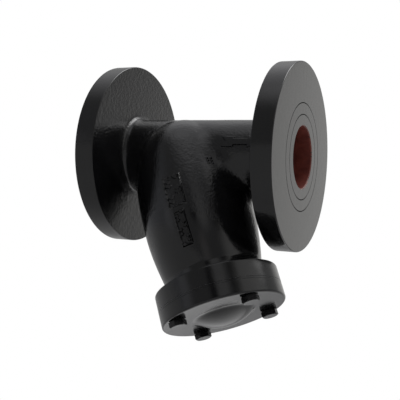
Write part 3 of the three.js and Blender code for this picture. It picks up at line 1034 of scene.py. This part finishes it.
def build_screen_tube():
    """The perforated tube: staggered round holes all round, apart from a plain strip for the seam."""
    columns, rows, steps = 34, 26, 4
    start, end = SCREEN_FROM + 1.9, SCREEN_TO - 1.9
    margin = 7.0
    pitch = (end - start - 2 * margin) / rows
    edge, hole = perforated_tile(0.31, steps)
    sheet = Sheet(columns)
    for row in range(rows):
        y = start + margin + pitch * (row + 0.5)
        for column in range(columns):
            u = column + (row % 2) / 2
            rim = [(u + a, y + b * pitch) for a, b in edge]
            if column == 0:
                sheet.patch(rim[::-1])
                continue
            inner = [(u + a, y + b * pitch) for a, b in hole]
            for i in range(len(rim)):
                k = (i + 1) % len(rim)
                sheet.patch([rim[k], rim[i], inner[i], inner[k]])
                sheet.wall(inner[k], inner[i])
    low, high = start + margin, start + margin + pitch * rows
    shift = ((rows - 1) % 2) / 2
    for i in range(columns * steps):
        a, b = i / steps, (i + 1) / steps
        sheet.patch([(b, start), (a, start), (a, low), (b, low)])
        sheet.patch([(b + shift, high), (a + shift, high), (a + shift, end), (b + shift, end)])
        sheet.wall((b, start), (a, start))
        sheet.wall((a + shift, end), (b + shift, end))
    tube = make_object("perforated_tube", on_leg(sheet.points), sheet.faces)
    paint(tube, [STAINLESS])
    shade(tube, 35, weighted=False)
    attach(tube, "screen")
    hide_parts("screen_tube")


def wire_ring(points, radius, closed):
    """Points and faces of a thin four-sided wire along points about the leg axis."""
    count = len(points)
    ahead = np.roll(points, -1, 0) - np.roll(points, 1, 0)
    if not closed:
        ahead[0], ahead[-1] = points[1] - points[0], points[-1] - points[-2]
    ahead /= np.linalg.norm(ahead, axis=1)[:, None]
    out = points * np.array([1, 0, 1])
    out /= np.linalg.norm(out, axis=1)[:, None]
    sideways = np.cross(ahead, out)
    corners = [points + radius * (out * a + sideways * b) for a, b in ((1, 0), (0, 1), (-1, 0), (0, -1))]
    placed = np.stack(corners, 1).reshape(-1, 3)
    faces = ring_faces(count, 4, closed)
    if not closed:
        last = (count - 1) * 4
        faces += [(3, 2, 1, 0), (last, last + 1, last + 2, last + 3)]
    return placed, faces


def build_liner():
    """Woven wire: rings and lengthwise wires that pass over and under each other."""
    around, along = 72, 56
    middle, wave, wire = 27.05, 0.22, 0.2
    start, end = SCREEN_FROM + 2.1, SCREEN_TO - 2.1
    points, faces = [], []

    def add(strand, closed):
        placed, wire_faces = wire_ring(strand, wire, closed)
        offset = sum(len(p) for p in points)
        points.append(placed)
        faces.extend([tuple(offset + i for i in f) for f in wire_faces])

    for j in range(along):
        y = start + (end - start) * (j + 0.5) / along
        phase = np.arange(2 * around) / 2
        angle = 2 * math.pi * phase / around
        radius = middle + wave * np.cos(math.pi * (phase + j))
        add(np.stack([radius * np.cos(angle), np.full(len(angle), y), radius * np.sin(angle)], 1), True)
    for i in range(around):
        angle = 2 * math.pi * i / around
        phase = np.arange(2 * along + 1) / 2 - 0.5
        y = np.clip(start + (end - start) * (phase + 0.5) / along, start, end)
        radius = middle - wave * np.cos(math.pi * (phase + i))
        add(np.stack([radius * math.cos(angle), y, radius * math.sin(angle)], 1), False)
    liner = make_object("woven_liner", on_leg(np.concatenate(points)), faces)
    paint(liner, [WIRE])
    shade(liner, 60, weighted=False)
    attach(liner, "screen")
    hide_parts("mesh_liner")


# ---- Studio --------------------------------------------------------------------------------------


# Azimuths are in degrees from +Y towards +X, and elevations are above the horizon.
CAMERA_AZIMUTH = 154.4138
CAMERA_ELEVATION = -14.4061
CAMERA_ROLL = 9.4315
CAMERA_DISTANCE = 0.65621
LOOK_AT = (-0.00058, -0.00035, -0.04284)
LENS = 65.32

# Soft light of the studio as the paint reflects it: the azimuth and elevation of each panel's middle, the
# angles from there at which it is full and gone, and its colour. A negative colour takes light away.
BASE_LIGHT = (0.26, 0.26, 0.265)
PANELS = (
    (0, 90, 18, 50, (0.54, 0.54, 0.56)),
    (-172, 56, 8, 24, (0.38, 0.38, 0.39)),
    (162, 27, 4, 14, (0.34, 0.34, 0.34)),
    (178, 20, 2.5, 7.5, (-0.24, -0.24, -0.24)),
    (165, 3, 3, 11, (0.2, 0.18, 0.18)),
    (-137, 0, 3, 12, (0.2, 0.2, 0.21)),
    (-105, 5, 20, 46, (0.12, 0.13, 0.155)),
    (9, 14, 11, 27, (0.36, 0.355, 0.34)),
    (0, 10, 40, 100, (0.15, 0.15, 0.145)),
    (104, 34, 10, 36, (0.52, 0.515, 0.50)),
    (134, 32, 5, 11, (-0.34, -0.34, -0.34)),
    (58, 60, 8, 22, (5.0, 5.0, 5.0)),
)

FLOOR_LEVEL = -0.52


def direction(azimuth, elevation):
    """The unit vector towards an azimuth and an elevation."""
    azimuth, elevation = math.radians(azimuth), math.radians(elevation)
    level = math.cos(elevation)
    return Vector((math.sin(azimuth) * level, math.cos(azimuth) * level, math.sin(elevation)))


def build_camera():
    """The viewpoint: in front of the part, to its right and below it, looking up, with a slight roll."""
    data = bpy.data.cameras.new("camera")
    data.sensor_width = 36.0
    data.lens = LENS
    camera = bpy.data.objects.new("camera", data)
    back = direction(CAMERA_AZIMUTH, CAMERA_ELEVATION)
    place = Matrix.Translation(Vector(LOOK_AT) + CAMERA_DISTANCE * back)
    level = back.to_track_quat("Z", "Y").to_matrix().to_4x4()
    camera.matrix_world = place @ level @ Matrix.Rotation(math.radians(CAMERA_ROLL), 4, "Z")
    bpy.context.scene.collection.objects.link(camera)
    bpy.context.scene.camera = camera


def build_world():
    """A white studio as the camera sees it, lit by soft panels with darkness between them."""
    world = bpy.data.worlds.new("studio")
    bpy.context.scene.world = world
    world.use_nodes = True
    tree = world.node_tree
    tree.nodes.clear()
    ray = tree.nodes.new("ShaderNodeTexCoord").outputs["Generated"]

    def vector_math(operation, first, second=None, scale=None):
        made = tree.nodes.new("ShaderNodeVectorMath")
        made.operation = operation
        for socket, value in ((made.inputs[0], first), (made.inputs[1], second), (made.inputs[3], scale)):
            if isinstance(value, bpy.types.NodeSocket):
                tree.links.new(value, socket)
            elif value is not None:
                socket.default_value = value
        return made.outputs["Value" if operation == "DOT_PRODUCT" else "Vector"]

    light = BASE_LIGHT
    for azimuth, elevation, full, gone, colour in PANELS:
        panel = tree.nodes.new("ShaderNodeMapRange")
        panel.interpolation_type = "SMOOTHSTEP"
        nearness = vector_math("DOT_PRODUCT", ray, direction(azimuth, elevation))
        tree.links.new(nearness, panel.inputs["Value"])
        panel.inputs["From Min"].default_value = math.cos(math.radians(gone))
        panel.inputs["From Max"].default_value = math.cos(math.radians(full))
        light = vector_math("ADD", light, vector_math("SCALE", colour, scale=panel.outputs["Result"]))
    room = tree.nodes.new("ShaderNodeBackground")
    tree.links.new(light, room.inputs["Color"])
    backdrop = tree.nodes.new("ShaderNodeBackground")
    backdrop.inputs["Color"].default_value = (1, 1, 1, 1)
    mix = tree.nodes.new("ShaderNodeMixShader")
    tree.links.new(tree.nodes.new("ShaderNodeLightPath").outputs["Is Camera Ray"], mix.inputs["Fac"])
    tree.links.new(room.outputs["Background"], mix.inputs[1])
    tree.links.new(backdrop.outputs["Background"], mix.inputs[2])
    output = tree.nodes.new("ShaderNodeOutputWorld")
    tree.links.new(mix.outputs["Shader"], output.inputs["Surface"])


def build_table_light():
    """A spot from above on the floor behind the part, which the dome and the cover look down on."""
    data = bpy.data.lights.new("table light", "SPOT")
    data.energy = 170
    data.spot_size = math.radians(42)
    data.spot_blend = 1.0
    data.shadow_soft_size = 0.1
    light = bpy.data.objects.new("table light", data)
    place, target = Vector((0.12, 0.55, 0.9)), Vector((0.06, 0.5, FLOOR_LEVEL))
    light.location = place
    light.rotation_euler = (target - place).to_track_quat("-Z", "Y").to_euler()
    light.visible_glossy = False
    bpy.context.scene.collection.objects.link(light)


def build_floor():
    """A plain pale floor, well below the drawn cover."""
    radius, count = 5.0, 64
    turn = np.arange(count) * 2 * math.pi / count
    rim = np.stack([radius * np.cos(turn), radius * np.sin(turn), np.full(count, FLOOR_LEVEL)], 1)
    floor = make_object("floor", rim / MM, [range(count)])
    floor.data.materials.append(pale_floor())


build_camera()
build_world()
build_table_light()
build_floor()
bpy.context.scene.view_settings.view_transform = "Standard"

build_body()
build_cover()
build_gasket()
for bolt_number, (bolt_across, bolt_side) in enumerate(bolt_places(), 1):
    build_bolt(bolt_number, bolt_across, bolt_side)
build_screen_tube()
build_band("top_band", "screen_top_ring", SCREEN_FROM, 1)
build_band("bottom_band", "screen_bottom_ring", SCREEN_TO, -1)
build_liner()
